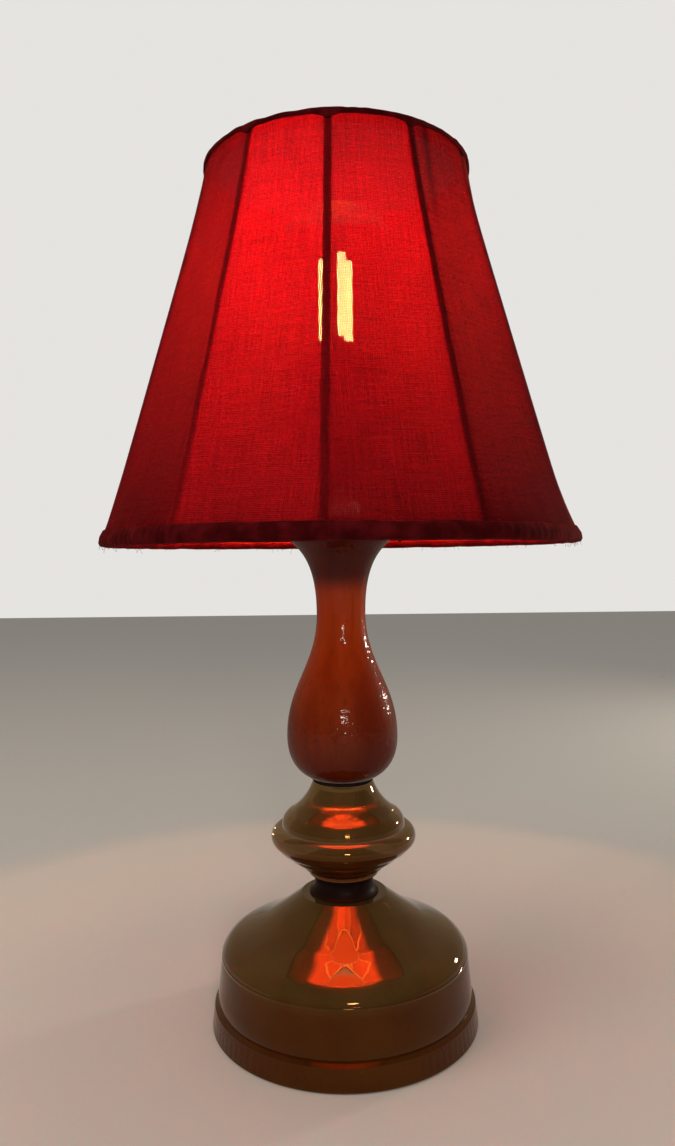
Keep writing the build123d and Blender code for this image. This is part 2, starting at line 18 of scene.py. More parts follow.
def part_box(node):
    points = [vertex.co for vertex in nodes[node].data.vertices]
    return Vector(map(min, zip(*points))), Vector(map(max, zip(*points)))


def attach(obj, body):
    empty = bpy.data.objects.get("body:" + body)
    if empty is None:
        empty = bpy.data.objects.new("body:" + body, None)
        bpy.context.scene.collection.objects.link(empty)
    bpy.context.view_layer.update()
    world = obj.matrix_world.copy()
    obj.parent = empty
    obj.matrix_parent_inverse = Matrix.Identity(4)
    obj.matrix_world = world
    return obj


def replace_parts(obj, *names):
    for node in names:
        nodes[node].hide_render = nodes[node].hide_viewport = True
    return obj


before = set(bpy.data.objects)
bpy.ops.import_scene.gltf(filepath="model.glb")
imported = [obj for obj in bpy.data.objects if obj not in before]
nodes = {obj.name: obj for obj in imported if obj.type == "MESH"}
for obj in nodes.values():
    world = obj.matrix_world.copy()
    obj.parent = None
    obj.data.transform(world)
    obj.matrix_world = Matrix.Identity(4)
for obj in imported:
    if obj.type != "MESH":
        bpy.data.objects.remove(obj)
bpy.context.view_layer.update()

# %% [markdown]
# ## The camera
# The picture looks at the lamp a little from below the shade's hem, close by. A camera at the same
# place gives the same ellipses at the foot, the hem and the shade's top. The lamp leans half a
# degree in the picture, which is the camera's roll and not a crooked lamp, so the camera is rolled.
# The angles below are in degrees and the lens is in millimetres.

# %% Camera
LENS = 27.05
CAMERA_PLACE = (0, -0.4065, 0.2161)
TURNED_LEFT, LOOKS_DOWN, ROLLED = 0.206, 0.865, -0.63

camera_data = bpy.data.cameras.new("camera")
camera_data.lens = LENS
camera = bpy.data.objects.new("camera", camera_data)
bpy.context.scene.collection.objects.link(camera)
turn_left = Matrix.Rotation(radians(TURNED_LEFT), 4, "Z")
look_ahead = Matrix.Rotation(radians(90 - LOOKS_DOWN), 4, "X")
roll = Matrix.Rotation(radians(ROLLED), 4, "Z")
camera.matrix_world = Matrix.Translation(CAMERA_PLACE) @ turn_left @ look_ahead @ roll
bpy.context.scene.camera = camera
bpy.context.scene.view_settings.view_transform = "Standard"
print("camera at", tuple(camera.location))

# %% [markdown]
# ## A pale studio
# The background is one pale colour. It could be a lit wall, but more light would also fall on the
# lamp, so the world is pale only for what the camera and glass see. Seen through the cloth's holes
# it is dim, because a pale wall there would wash the red out.
# Mirrors see a warm room, brighter behind the lamp than in front of it, so dark wood and glass keep
# their colour. Straight above they see a lamplit spot: the foot mirrors the shade's top opening, and
# above a lit shade there is a lit ceiling. What lights the lamp is a dim world and three lamps: a
# small low one in front, one at the right behind, and a large soft one at the left. Mirrors don't
# see the large one, which would lie on the glass as a white square.

# %% Node helpers
def place(tree, kind, inputs=(), **settings):
    """Adds a node, sets or links its inputs, and returns it."""
    made = tree.nodes.new(kind)
    for key, value in settings.items():
        setattr(made, key, value)
    for key, value in dict(inputs).items():
        if isinstance(value, bpy.types.NodeSocket):
            tree.links.new(value, made.inputs[key])
        else:
            made.inputs[key].default_value = value
    return made


def calc(tree, operation, *values):
    """A Math node's result."""
    return place(tree, "ShaderNodeMath", enumerate(values), operation=operation).outputs[0]


def fade(tree, value, low, high, at_low=0.0, at_high=1.0):
    """Goes smoothly from one value to another while value goes from low to high."""
    inputs = {"Value": value, "From Min": low, "From Max": high, "To Min": at_low, "To Max": at_high}
    return place(tree, "ShaderNodeMapRange", inputs, interpolation_type="SMOOTHSTEP").outputs[0]


def blend(tree, share, first, second, how="MIX"):
    """Mixes two colours."""
    settings = {"data_type": "RGBA", "blend_type": how, "clamp_factor": True}
    return place(tree, "ShaderNodeMix", {0: share, 6: first, 7: second}, **settings).outputs[2]


def drawn_out_noise(tree, vector, scale, location=(0, 0, 0), **settings):
    """Noise drawn out along an axis: the sizes of its grain are in the Mapping's three scales."""
    mapping = place(tree, "ShaderNodeMapping", {"Vector": vector, "Scale": scale, "Location": location})
    inputs = {"Vector": mapping.outputs[0], "Scale": 1.0, **settings}
    return place(tree, "ShaderNodeTexNoise", inputs).outputs[0]


# %% Studio
PALE = (0.86, 0.84, 0.81, 1)
WARM = (0.86, 0.66, 0.44, 1)
LAMPLIGHT = (1, 0.09, 0.014, 1)
SEEN, SEEN_THROUGH_CLOTH = 0.92, 0.1
ROOM_IN_FRONT, ROOM_BEHIND = 0.12, 0.42
LIT_SPOT = 14
DIM_LIGHT = 0.42

world = bpy.data.worlds.new("studio")
bpy.context.scene.world = world
world.use_nodes = True
tree = world.node_tree
tree.nodes.clear()
ray = place(tree, "ShaderNodeLightPath").outputs
direction = place(tree, "ShaderNodeTexCoord").outputs["Generated"]
towards_back, upwards = place(tree, "ShaderNodeSeparateXYZ", {0: direction}).outputs[1:3]
overhead = fade(tree, upwards, 0.955, 0.97)
seen = calc(tree, "MAXIMUM", ray["Is Camera Ray"], ray["Is Transmission Ray"])
through_cloth = fade(tree, ray["Transparent Depth"], 0, 1, SEEN, SEEN_THROUGH_CLOTH)
seen = calc(tree, "MULTIPLY", seen, through_cloth)
room = fade(tree, towards_back, -0.3, 0.5, ROOM_IN_FRONT, ROOM_BEHIND)
room = calc(tree, "ADD", room, calc(tree, "MULTIPLY", overhead, LIT_SPOT))
mirrored = calc(tree, "MULTIPLY", ray["Is Glossy Ray"], room)
lighting = calc(tree, "MULTIPLY", ray["Is Diffuse Ray"], DIM_LIGHT)
strength = calc(tree, "ADD", calc(tree, "MAXIMUM", seen, mirrored), lighting)
colour = blend(tree, ray["Is Glossy Ray"], PALE, blend(tree, overhead, WARM, LAMPLIGHT))
light = place(tree, "ShaderNodeBackground", {"Color": colour, "Strength": strength})
place(tree, "ShaderNodeOutputWorld", {"Surface": light.outputs[0]})
print("world nodes:", len(tree.nodes))

# %% Lamps
def soft_lamp(name, place_at, aim, size, power):
    """A square lamp that points at a spot; its light is a little warm, like a room's."""
    data = bpy.data.lights.new(name, "AREA")
    data.color = (1, 0.9, 0.76)
    data.size = size
    data.energy = power
    lamp = bpy.data.objects.new(name, data)
    bpy.context.scene.collection.objects.link(lamp)
    lamp.location = place_at
    lamp.rotation_euler = (Vector(aim) - Vector(place_at)).to_track_quat("-Z", "Y").to_euler()
    print(name, "of", power, "W at", place_at)
    return lamp


soft_lamp("front_lamp", (0.14, -1.2, 0.44), (0, 0, 0.15), 0.16, 5)
soft_lamp("right_lamp", (0.95, 0.6, 0.3), (0, 0, 0.1), 0.1, 3)
left_lamp = soft_lamp("left_lamp", (-1.0, -0.5, 0.9), (0, 0, 0.15), 0.9, 6)
left_lamp.visible_glossy = False

# %% Floor
FLOOR_SIZE = 3

floor_mesh = bmesh.new()
bmesh.ops.create_grid(floor_mesh, x_segments=1, y_segments=1, size=FLOOR_SIZE)
floor_data = bpy.data.meshes.new("floor")
floor_mesh.to_mesh(floor_data)
floor_mesh.free()
floor_piece = bpy.data.objects.new("floor", floor_data)
bpy.context.scene.collection.objects.link(floor_piece)


def new_material(name, **constants):
    """A material with one Principled shader; its name is a maker's plain word for the finish."""
    material = bpy.data.materials.new(name)
    material.use_nodes = True
    tree = material.node_tree
    shader = tree.nodes["Principled BSDF"]
    for key, value in constants.items():
        shader.inputs[key.replace("_", " ").title().replace("Ior", "IOR")].default_value = value
    return material, tree, shader


floor_finish = new_material(
    "pale_floor", roughness=0.9, specular_ior_level=0, base_color=(0.62, 0.59, 0.55, 1)
)[0]
floor_data.materials.append(floor_finish)
print("floor:", floor_data.name, "with", floor_finish.name)

# %% [markdown]
# ## Patterns that several finishes share
# A pattern used twice belongs in a node group: it is built once and each finish gives it its own
# values. There are three here. Plain weave serves the cover, the tapes and the wrapped wires. Fine
# wear, a soft cloudiness with thin scratches, serves glass, plastic and metal. Turned marks, fine
# rings round the axis, serve all that comes off a lathe.

# %% Group helper
def new_group(name, inputs, outputs):
    """An empty shader group with float and vector sockets."""
    group = bpy.data.node_groups.new(name, "ShaderNodeTree")
    for label, kind, value in inputs:
        socket = group.interface.new_socket(label, in_out="INPUT", socket_type=kind)
        if value is not None:
            socket.default_value = value
    for label, kind in outputs:
        group.interface.new_socket(label, in_out="OUTPUT", socket_type=kind)
    given = group.nodes.new("NodeGroupInput").outputs
    return group, given, group.nodes.new("NodeGroupOutput").inputs


def use_group(tree, group, **inputs):
    """Places a group in a tree and returns its outputs."""
    made = tree.nodes.new("ShaderNodeGroup")
    made.node_tree = group
    for key, value in inputs.items():
        socket = made.inputs[key.replace("_", " ").capitalize()]
        if isinstance(value, bpy.types.NodeSocket):
            tree.links.new(value, socket)
        else:
            socket.default_value = value
    return made.outputs


FLOAT, VECTOR = "NodeSocketFloat", "NodeSocketVector"

# %% Plain weave
weave, given, put = new_group(
    "plain_weave",
    [("Vector", VECTOR, None), ("Pitch", FLOAT, 0.0004), ("Unevenness", FLOAT, 0.4)],
    [("Height", FLOAT), ("Gap", FLOAT), ("Thread", FLOAT)],
)
wobble = place(weave, "ShaderNodeTexNoise", {"Vector": given["Vector"], "Scale": 260.0, "Detail": 1.0})
parts = place(weave, "ShaderNodeSeparateXYZ", {0: given["Vector"]}).outputs
drift = calc(weave, "MULTIPLY", calc(weave, "SUBTRACT", wobble.outputs[0], 0.5), given["Unevenness"])
across = calc(weave, "ADD", calc(weave, "DIVIDE", parts[0], given["Pitch"]), drift)
along = calc(weave, "ADD", calc(weave, "DIVIDE", parts[1], given["Pitch"]), drift)
warp_wave = calc(weave, "SINE", calc(weave, "MULTIPLY", across, pi))
weft_wave = calc(weave, "SINE", calc(weave, "MULTIPLY", along, pi))
warp = calc(weave, "ABSOLUTE", warp_wave)
weft = calc(weave, "ABSOLUTE", weft_wave)
over = calc(weave, "MULTIPLY", calc(weave, "MULTIPLY", warp_wave, weft_wave), 0.35)
warp_height = calc(weave, "MULTIPLY", warp, calc(weave, "ADD", 0.65, over))
weft_height = calc(weave, "MULTIPLY", weft, calc(weave, "SUBTRACT", 0.65, over))
weave.links.new(calc(weave, "MAXIMUM", warp_height, weft_height), put["Height"])
beside_warp, beside_weft = calc(weave, "SUBTRACT", 1, warp), calc(weave, "SUBTRACT", 1, weft)
open_share = calc(weave, "MULTIPLY", beside_warp, beside_weft)
weave.links.new(fade(weave, open_share, 0.12, 0.5), put["Gap"])
slubs_up = drawn_out_noise(weave, given["Vector"], (1500, 45, 1), Detail=2.0)
slubs_across = drawn_out_noise(weave, given["Vector"], (60, 1700, 1), Detail=2.0)
slubs = calc(weave, "MULTIPLY", calc(weave, "ADD", slubs_up, slubs_across), 0.5)
weave.links.new(slubs, put["Thread"])
print("plain weave:", len(weave.nodes), "nodes")

# %% Fine wear
wear, given, put = new_group(
    "fine_wear",
    [("Vector", VECTOR, None), ("Scale", FLOAT, 60.0)],
    [("Cloud", FLOAT), ("Scratch", FLOAT)],
)
inputs = {"Vector": given["Vector"], "Scale": given["Scale"], "Detail": 4.0}
cloud = place(wear, "ShaderNodeTexNoise", inputs)
wear.links.new(fade(wear, cloud.outputs[0], 0.35, 0.7), put["Cloud"])
inputs = {"Vector": given["Vector"], "Rotation": (0.3, 0.9, 0.4), "Scale": (1, 14, 1)}
stretched = place(wear, "ShaderNodeMapping", inputs)
scratch_scale = calc(wear, "MULTIPLY", given["Scale"], 4)
inputs = {"Vector": stretched.outputs[0], "Scale": scratch_scale, "Detail": 1.0}
scratches = place(wear, "ShaderNodeTexNoise", inputs)
wear.links.new(fade(wear, scratches.outputs[0], 0.66, 0.74), put["Scratch"])
print("fine wear:", len(wear.nodes), "nodes")

# %% Turned marks
lathe, given, put = new_group(
    "turned_marks", [("Vector", VECTOR, None), ("Pitch", FLOAT, 0.0004)], [("Height", FLOAT)]
)
parts = place(lathe, "ShaderNodeSeparateXYZ", {0: given["Vector"]}).outputs
squares = [calc(lathe, "POWER", part, 2.0) for part in parts[:2]]
off_axis = calc(lathe, "SQRT", calc(lathe, "ADD", *squares))
ring_place = calc(lathe, "DIVIDE", calc(lathe, "ADD", parts[2], off_axis), given["Pitch"])
inputs = {"W": ring_place, "Scale": 1.0, "Detail": 2.0}
ring_noise = place(lathe, "ShaderNodeTexNoise", inputs, noise_dimensions="1D")
lathe.links.new(ring_noise.outputs[0], put["Height"])
print("groups:", [group.name for group in bpy.data.node_groups])

# %% [markdown]
# ## Hard finishes
# Every hard finish reads Object coordinates. The pieces' objects all sit at the origin, so one
# pattern runs on from piece to piece at its real size. Gloss is broken a little by the wear group,
# because nothing on a used lamp is evenly shiny.

# %% Moulded plastic, rubber and metals
def object_place(tree):
    """Object coordinates, in metres."""
    return place(tree, "ShaderNodeTexCoord").outputs["Object"]


def bump(tree, shader, height, distance, strength=1.0, after=None):
    """Feeds a height into the shader's normal."""
    inputs = {"Height": height, "Distance": distance, "Strength": strength}
    if after is not None:
        inputs["Normal"] = after
    made = place(tree, "ShaderNodeBump", inputs)
    tree.links.new(made.outputs[0], shader.inputs["Normal"])
    return made.outputs[0]


def hard_finish(name, colour, worn_colour, smooth, worn, scale=60.0, marks=0.0, pitch=0.0004, **constants):
    """A hard surface with cloudy wear, thin scratches and, where asked, lathe or moulding marks."""
    material, tree, shader = new_material(name, **constants)
    where = object_place(tree)
    mask = use_group(tree, wear, vector=where, scale=scale)
    tree.links.new(blend(tree, mask["Cloud"], (*colour, 1), (*worn_colour, 1)), shader.inputs["Base Color"])
    roughness = calc(tree, "ADD", smooth, calc(tree, "MULTIPLY", mask["Cloud"], worn - smooth))
    scratched = calc(tree, "MULTIPLY", mask["Scratch"], 0.1)
    tree.links.new(calc(tree, "ADD", roughness, scratched), shader.inputs["Roughness"])
    if marks:
        bump(tree, shader, use_group(tree, lathe, vector=where, pitch=pitch)["Height"], marks)
    return material


FINE_MARKS = 1e-5

black_moulding = hard_finish(
    "black_moulding", (0.007, 0.0022, 0.0014), (0.012, 0.004, 0.003), 0.4, 0.6,
    marks=FINE_MARKS, pitch=0.0009, specular_ior_level=0.06,
)
black_rubber = hard_finish(
    "black_rubber", (0.008, 0.003, 0.002), (0.014, 0.007, 0.005), 0.7, 0.85, specular_ior_level=0.04
)
zinc_steel = hard_finish(
    "zinc_steel", (0.55, 0.55, 0.54), (0.42, 0.42, 0.42), 0.28, 0.45, marks=FINE_MARKS, metallic=1.0
)
plain_brass = hard_finish(
    "plain_brass", (0.72, 0.5, 0.22), (0.5, 0.33, 0.13), 0.25, 0.42, marks=FINE_MARKS, metallic=1.0
)
cap_metal = hard_finish("cap_metal", (0.7, 0.68, 0.64), (0.5, 0.48, 0.45), 0.3, 0.5, metallic=1.0)
grey_solder = hard_finish(
    "grey_solder", (0.4, 0.4, 0.41), (0.3, 0.3, 0.31), 0.35, 0.55, scale=400.0, metallic=1.0
)
black_glass = hard_finish("black_glass", (0.01, 0.01, 0.012), (0.02, 0.02, 0.02), 0.08, 0.2)
bare_wire = hard_finish("bare_wire", (0.55, 0.53, 0.5), (0.4, 0.38, 0.35), 0.3, 0.45, metallic=1.0)
print("hard finishes:", black_moulding.name, black_rubber.name, zinc_steel.name, plain_brass.name)

# %% [markdown]
# ## Smoked glass
# The foot and the knob are thick glass with a brown smoke in it. A tint on a fully transmitting
# surface is taken once at every face that light passes, so the colour is set lighter than the
# glass looks, and half of the light stays in the smoke. A brown tint on the mirror image keeps the
# room from greying the glass. The colour holds painted light and shade: the upper glass is painted
# a lighter olive and the lower glass a darker brown. Moulded glass isn't flat: it has soft waves,
# a mould line, and short flutes pressed in its foot.

# %% Smoked glass
FLUTES = 96


def smoked_glass(name, edge_at, fluted_below, painted_shade_below):
    """Painted light above a height in a lighter olive, painted shade below it in a darker brown;
    a raised mould line at an edge; flutes near the table.
    """
    material, tree, shader = new_material(
        name, transmission_weight=0.5, ior=1.5, specular_tint=(1, 0.45, 0.18, 1)
    )
    where = object_place(tree)
    mask = use_group(tree, wear, vector=where, scale=45.0)
    parts = place(tree, "ShaderNodeSeparateXYZ", {0: where}).outputs
    height = parts[2]
    # Painted light and shade: the upper glass is a lighter olive, the lower glass a darker brown.
    olive = blend(tree, mask["Cloud"], (0.095, 0.05, 0.014, 1), (0.12, 0.066, 0.019, 1))
    brown = blend(tree, mask["Cloud"], (0.07, 0.018, 0.003, 1), (0.09, 0.026, 0.004, 1))
    painted_lit_upper = fade(tree, height, painted_shade_below - 0.004, painted_shade_below + 0.004)
    tree.links.new(blend(tree, painted_lit_upper, brown, olive), shader.inputs["Base Color"])
    pressed = fade(tree, height, fluted_below - 0.001, fluted_below + 0.001, 0.16, 0.015)
    scratched = calc(tree, "MULTIPLY", mask["Scratch"], 0.12)
    tree.links.new(calc(tree, "ADD", pressed, scratched), shader.inputs["Roughness"])
    wave = place(tree, "ShaderNodeTexNoise", {"Vector": where, "Scale": 55.0, "Detail": 2.0})
    waves = bump(tree, shader, wave.outputs[0], 0.0005, 0.35)
    if edge_at:
        off_edge = calc(tree, "ABSOLUTE", calc(tree, "SUBTRACT", height, edge_at))
        waves = bump(tree, shader, fade(tree, off_edge, 0.0, 0.0009, 1.0, 0.0), 0.0004, 0.9, after=waves)
    if fluted_below:
        turn = calc(tree, "ARCTAN2", parts[1], parts[0])
        flute = calc(tree, "ABSOLUTE", calc(tree, "SINE", calc(tree, "MULTIPLY", turn, FLUTES / 2)))
        low = fade(tree, height, fluted_below - 0.002, fluted_below, 1.0, 0.0)
        bump(tree, shader, calc(tree, "MULTIPLY", flute, low), 0.00012, 0.6, after=waves)
    return material


bead_height = sum(corner.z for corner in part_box("glass_knob")) / 2
# Painted shade: the foot's wall below its shoulder and the knob below its bead are a darker brown.
foot_glass = smoked_glass("smoked_glass_foot", edge_at=0.0325, fluted_below=0.0098, painted_shade_below=0.032)
knob_glass = smoked_glass("smoked_glass_knob", 0, 0, painted_shade_below=bead_height - 0.004)
print("glass:", foot_glass.name, "and", knob_glass.name)

# %% [markdown]
# ## Varnished wood
# The column is turned from a plain reddish-brown wood, so its grain runs up and down: noise that is
# stretched along Z gives the streaks. Thick gloss varnish lies on it like orange peel. That is a
# coat with its own fine bump, which breaks a lamp's mirror image into sparkles. Just under the hem
# the hem's shadow is painted into the wood as a dark band, a painted shadow. Towards the foot the
# colour is painted darker again, as painted shade, because less of the shade's light gets there
# than a render lets through.

# %% Varnished wood
REDDISH, BROWNISH = (0.19, 0.019, 0.002, 1), (0.29, 0.036, 0.003, 1)
# The second colour on the next line is painted shade and painted shadow, used at both ends of the column.
DARK_GRAIN, PAINTED_SHADE_COLOUR = (0.10, 0.010, 0.002, 1), (0.03, 0.002, 0.0005, 1)

varnished_wood, tree, shader = new_material(
    "varnished_wood", coat_roughness=0.03, coat_weight=0.3, coat_ior=1.5, specular_ior_level=0.03
)
where = object_place(tree)
parts = place(tree, "ShaderNodeSeparateXYZ", {0: where}).outputs
streaks = drawn_out_noise(tree, where, (420, 420, 18), Detail=5.0, Roughness=0.65)
bands = drawn_out_noise(tree, where, (70, 70, 5), (3, 1, 0), Detail=3.0)
wood_colour = blend(tree, fade(tree, bands, 0.3, 0.7), REDDISH, BROWNISH)
wood_colour = blend(tree, fade(tree, streaks, 0.48, 0.78, 0.0, 0.45), wood_colour, DARK_GRAIN)
# Painted shadow: the hem's shadow is painted as a dark band on the column's top end.
painted_hem_shadow = fade(tree, parts[2], 0.200, 0.210, 0.0, 0.8)
# Painted shade: the wood's colour darkens towards the foot.
painted_shade_to_foot = fade(tree, parts[2], 0.1, 0.198, 0.92, 0.0)
wood_colour = blend(tree, calc(tree, "MAXIMUM", painted_hem_shadow, painted_shade_to_foot), wood_colour, PAINTED_SHADE_COLOUR)
tree.links.new(wood_colour, shader.inputs["Base Color"])
tree.links.new(fade(tree, streaks, 0.3, 0.7, 0.35, 0.5), shader.inputs["Roughness"])
peel = place(tree, "ShaderNodeTexNoise", {"Vector": where, "Scale": 400.0, "Detail": 1.0})
bump(tree, shader, peel.outputs[0], 0.0001, 1.0)
varnish = place(tree, "ShaderNodeBump", {"Height": peel.outputs[0], "Distance": 0.0004})
tree.links.new(varnish.outputs[0], shader.inputs["Coat Normal"])
print("wood nodes:", len(tree.nodes))

# %% [markdown]
# ## Put the finishes on the CAD parts
# A CAD node arrives as loose triangles. Weld joins them for shading and Edge Split keeps the real
# edges sharp. Both are modifiers, so the node's own mesh stays as it was packed.

# %% Finish the hard CAD parts
SHARP_EDGE = radians(38)


def finish_node(name, material):
    """Gives a CAD node its material, smooth faces and sharp edges."""
    piece = nodes[name]
    piece.data.materials.clear()
    piece.data.materials.append(material)
    piece.data.shade_smooth()
    join = piece.modifiers.new("join", "WELD")
    join.merge_threshold = 1e-5
    split = piece.modifiers.new("edges", "EDGE_SPLIT")
    split.split_angle = SHARP_EDGE
    split.use_edge_sharp = False
    return piece


FINISHES = {
    "glass_base": foot_glass,
    "glass_knob": knob_glass,
    "wood_column": varnished_wood,
    "lower_collar": black_moulding,
    "cord_bush": black_moulding,
    "holder_cap": black_moulding,
    "holder_insert": black_moulding,
    "holder_skirt": black_moulding,
    "shade_ring": black_moulding,
    "base_rubber_washer": black_rubber,
    "base_gasket": black_rubber,
    "knob_gasket": black_rubber,
    "wood_gasket": black_rubber,
    "base_steel_washer": zinc_steel,
    "base_nut": zinc_steel,
    "top_washer": zinc_steel,
    "top_nut": zinc_steel,
    "lamp_tube": zinc_steel,
    "holder_grub_screw": zinc_steel,
    "riser_sleeve": plain_brass,
    "holder_terminal_screws": plain_brass,
    "holder_centre_contact": plain_brass,
    "holder_side_contact": plain_brass,
    "holder_screw_shell": plain_brass,
    "bulb_cap": cap_metal,
    "bulb_insulator": black_glass,
    "bulb_contact": grey_solder,
    "bulb_leads": bare_wire,
}
for name, material in FINISHES.items():
    finish_node(name, material)
print("finished nodes:", len(FINISHES))

# %% [markdown]
# ## What the glass mirrors
# The foot's dome mirrors the lit inside of the shade as a bell of light, which is the brightest spot
# below the shade. The column, the lampholder and the bulb stand in between and would fill that bell
# with a dark tree. So mirrors see none of the hard parts but the foot and what touches it.

# %% What the glass mirrors
IN_MIRRORS = ("glass_base", "base_gasket", "lower_collar", "cord_bush")
for name in FINISHES:
    nodes[name].visible_glossy = name in IN_MIRRORS
print("hidden from mirrors:", len(FINISHES) - len(IN_MIRRORS))

# %% [markdown]
# ## How a new piece is made
# Every new shape is a bmesh built at its own place in the lamp, so that the piece's object stays at
# the origin, as a CAD node's does. One helper turns it into a piece that rides on a CAD body and
# gets the materials it is given. Real edges are never quite sharp, so another helper bevels them.

# %% New pieces
def new_piece(name, shape, body, slot, *materials):
    """Makes a mesh piece at the origin that rides on a CAD body."""
    data = bpy.data.meshes.new(name)
    shape.to_mesh(data)
    shape.free()
    data.shade_smooth()
    for material in materials:
        data.materials.append(material)
    piece = bpy.data.objects.new(name, data)
    bpy.context.scene.collection.objects.link(piece)
    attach(piece, body)
    print(name, len(data.polygons), "faces")
    return piece


def round_edges(shape, width, segments):
    """Bevels every edge at which two faces meet at more than a radian."""
    sharp = [e for e in shape.edges if e.calc_face_angle(0) > 1]
    bmesh.ops.bevel(
        shape, geom=sharp, offset=width, segments=segments, profile=0.5, affect="EDGES", material=-1
    )

# %% [markdown]
# ## The bulb
# Straight glowing sticks show through the cloth, so this is a clear bulb with filament sticks. The
# glass must not keep the light in: it casts no shadow here. The sticks glow for the eye alone, and a
# small warm lamp between them lights the cloth, because a lamp is found by every ray and glowing
# mesh is noisy. That lamp has no body of its own: camera, mirrors and glass don't see it. Mirrors
# see neither bulb glass nor sticks, which would be hard specks of light on the foot.
# CAD's sticks are plain rods. Here each gets its thicker coat of glowing paste, with round ends.

# %% Bulb
clear_glass, tree, shader = new_material(
    "clear_bulb_glass", transmission_weight=1.0, ior=1.45, base_color=(0.98, 0.98, 0.97, 1)
)
mask = use_group(tree, wear, vector=object_place(tree), scale=80.0)
tree.links.new(calc(tree, "MULTIPLY", mask["Scratch"], 0.05), shader.inputs["Roughness"])
for name in ("bulb_glass", "bulb_stem"):
    bulb_part = finish_node(name, clear_glass)
    bulb_part.visible_shadow = bulb_part.visible_glossy = False

lit_stick, tree, shader = new_material(
    "lit_filament", emission_strength=90.0, emission_color=(1, 0.85, 0.29, 1)
)
inputs = {"Vector": object_place(tree), "Scale": 900.0, "Detail": 2.0}
grain = place(tree, "ShaderNodeTexNoise", inputs).outputs[0]
paste_colour = blend(tree, grain, (0.9, 0.6, 0.12, 1), (1, 0.8, 0.3, 1))
tree.links.new(paste_colour, shader.inputs["Base Color"])
print("bulb materials:", clear_glass.name, lit_stick.name)

# %% Filament sticks
STICKS = 3
COAT = 0.0020

plain_sticks = bmesh.new()
plain_sticks.from_mesh(nodes["bulb_filaments"].data)
bmesh.ops.remove_doubles(plain_sticks, verts=plain_sticks.verts, dist=1e-5)
stick_low, stick_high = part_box("bulb_filaments")
stick_ends = {}
for v in plain_sticks.verts:
    key = round(atan2(v.co.y, v.co.x) / (2 * pi / STICKS)) % STICKS
    stick_ends.setdefault(key, []).append(v.co.copy())
plain_sticks.free()
sticks = bmesh.new()
for corners in stick_ends.values():
    middle = sum(corners, Vector()) / len(corners)
    middle.z = (stick_low.z + stick_high.z) / 2
    length = stick_high.z - stick_low.z
    at_middle = Matrix.Translation(middle)
    ends = {"radius1": COAT, "radius2": COAT, "cap_ends": True}
    bmesh.ops.create_cone(sticks, segments=16, depth=length, matrix=at_middle, **ends)
round_edges(sticks, 0.0006, 3)
glowing_sticks = new_piece("glowing_sticks", sticks, "bulb", "filament", lit_stick)
glowing_sticks.visible_diffuse = glowing_sticks.visible_glossy = False
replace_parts(glowing_sticks, "bulb_filaments")

# %% Light of the bulb
BULB_POWER = 2.4

glow_data = bpy.data.lights.new("bulb_light", "POINT")
glow_data.energy = BULB_POWER
glow_data.color = (1, 0.5, 0.25)
glow_data.shadow_soft_size = 0.008
glow = bpy.data.objects.new("bulb_light", glow_data)
glow.location = (0, 0, (stick_low.z + stick_high.z) / 2)
bpy.context.scene.collection.objects.link(glow)
glow.visible_camera = glow.visible_glossy = glow.visible_transmission = False
print("light at", tuple(glow.location))

# %% [markdown]
# ## Feel the cover's surface
# The new cloth has to lie where the CAD cover lies. Rays from outside towards the axis give its
# radius at any turn and height, so no number is copied by hand.

# %% Cover measures
RIBS = 11
FIRST_RIB = radians(-93)
GORE = 2 * pi / RIBS
ROWS = 100
EDGE_MARGIN = 3e-4

cloth_low, cloth_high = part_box("shade_fabric")
felt = bmesh.new()
felt.from_mesh(nodes["shade_fabric"].data)
bmesh.ops.remove_doubles(felt, verts=felt.verts, dist=1e-5)
cover_surface = BVHTree.FromBMesh(felt)
felt.free()


def cloth_radius(angle, height):
    """Outside radius of the CAD cover; past its edges, the radius just inside them."""
    height = min(max(height, cloth_low.z + EDGE_MARGIN), cloth_high.z - EDGE_MARGIN)
    out = Vector((cos(angle), sin(angle), 0))
    hit = cover_surface.ray_cast(out * 0.2 + Vector((0, 0, height)), -out)[0]
    return hit.xy.length


def on_circle(angle, radius, height):
    """The point at a turn round the axis, a distance from it and a height."""
    return Vector((radius * cos(angle), radius * sin(angle), height))


def rib_share(angle):
    """Where a turn lies in its panel: 0 at the rib before it, 1 at the next."""
    return ((angle - FIRST_RIB) / GORE) % 1


side = [cloth_high.z - (cloth_high.z - cloth_low.z) * i / ROWS for i in range(ROWS + 1)]
side_radius = [cloth_radius(FIRST_RIB, height) for height in side]
side_length = [0]
for i in range(ROWS):
    step = hypot(side_radius[i + 1] - side_radius[i], side[i + 1] - side[i])
    side_length.append(side_length[-1] + step)
print("cover: side", round(side_length[-1], 4), "m")
print("cover: top and bottom radius", round(side_radius[0], 4), round(side_radius[-1], 4))

# %% [markdown]
# ## Red cloth
# Thin red cloth does three things at once. Its threads scatter light back, which gives its colour
# by day. They let a little through, which makes the lit shade glow. And between the threads are
# holes, through which the glowing sticks themselves show. So the material mixes a Principled, a
# Translucent and a Transparent shader. The cover has two faces a third of a millimetre apart. Only
# the outer one has the weave's holes: two sets of holes would cover each other for a slanted view.
# The inner face lets an even share of the light straight through. Seen at a slant, cloth is denser,
# and Layer Weight takes light away there, so the shade gets darker towards its outline. The inside
# of a lit shade is many times brighter than its outside, and its mirror image in the glass foot is
# a strong orange. A bulb that bright would flood the floor, so only mirrors see the extra light. It
# is left out for a mirror behind a hole in the cloth, which is the bulb's own glass.

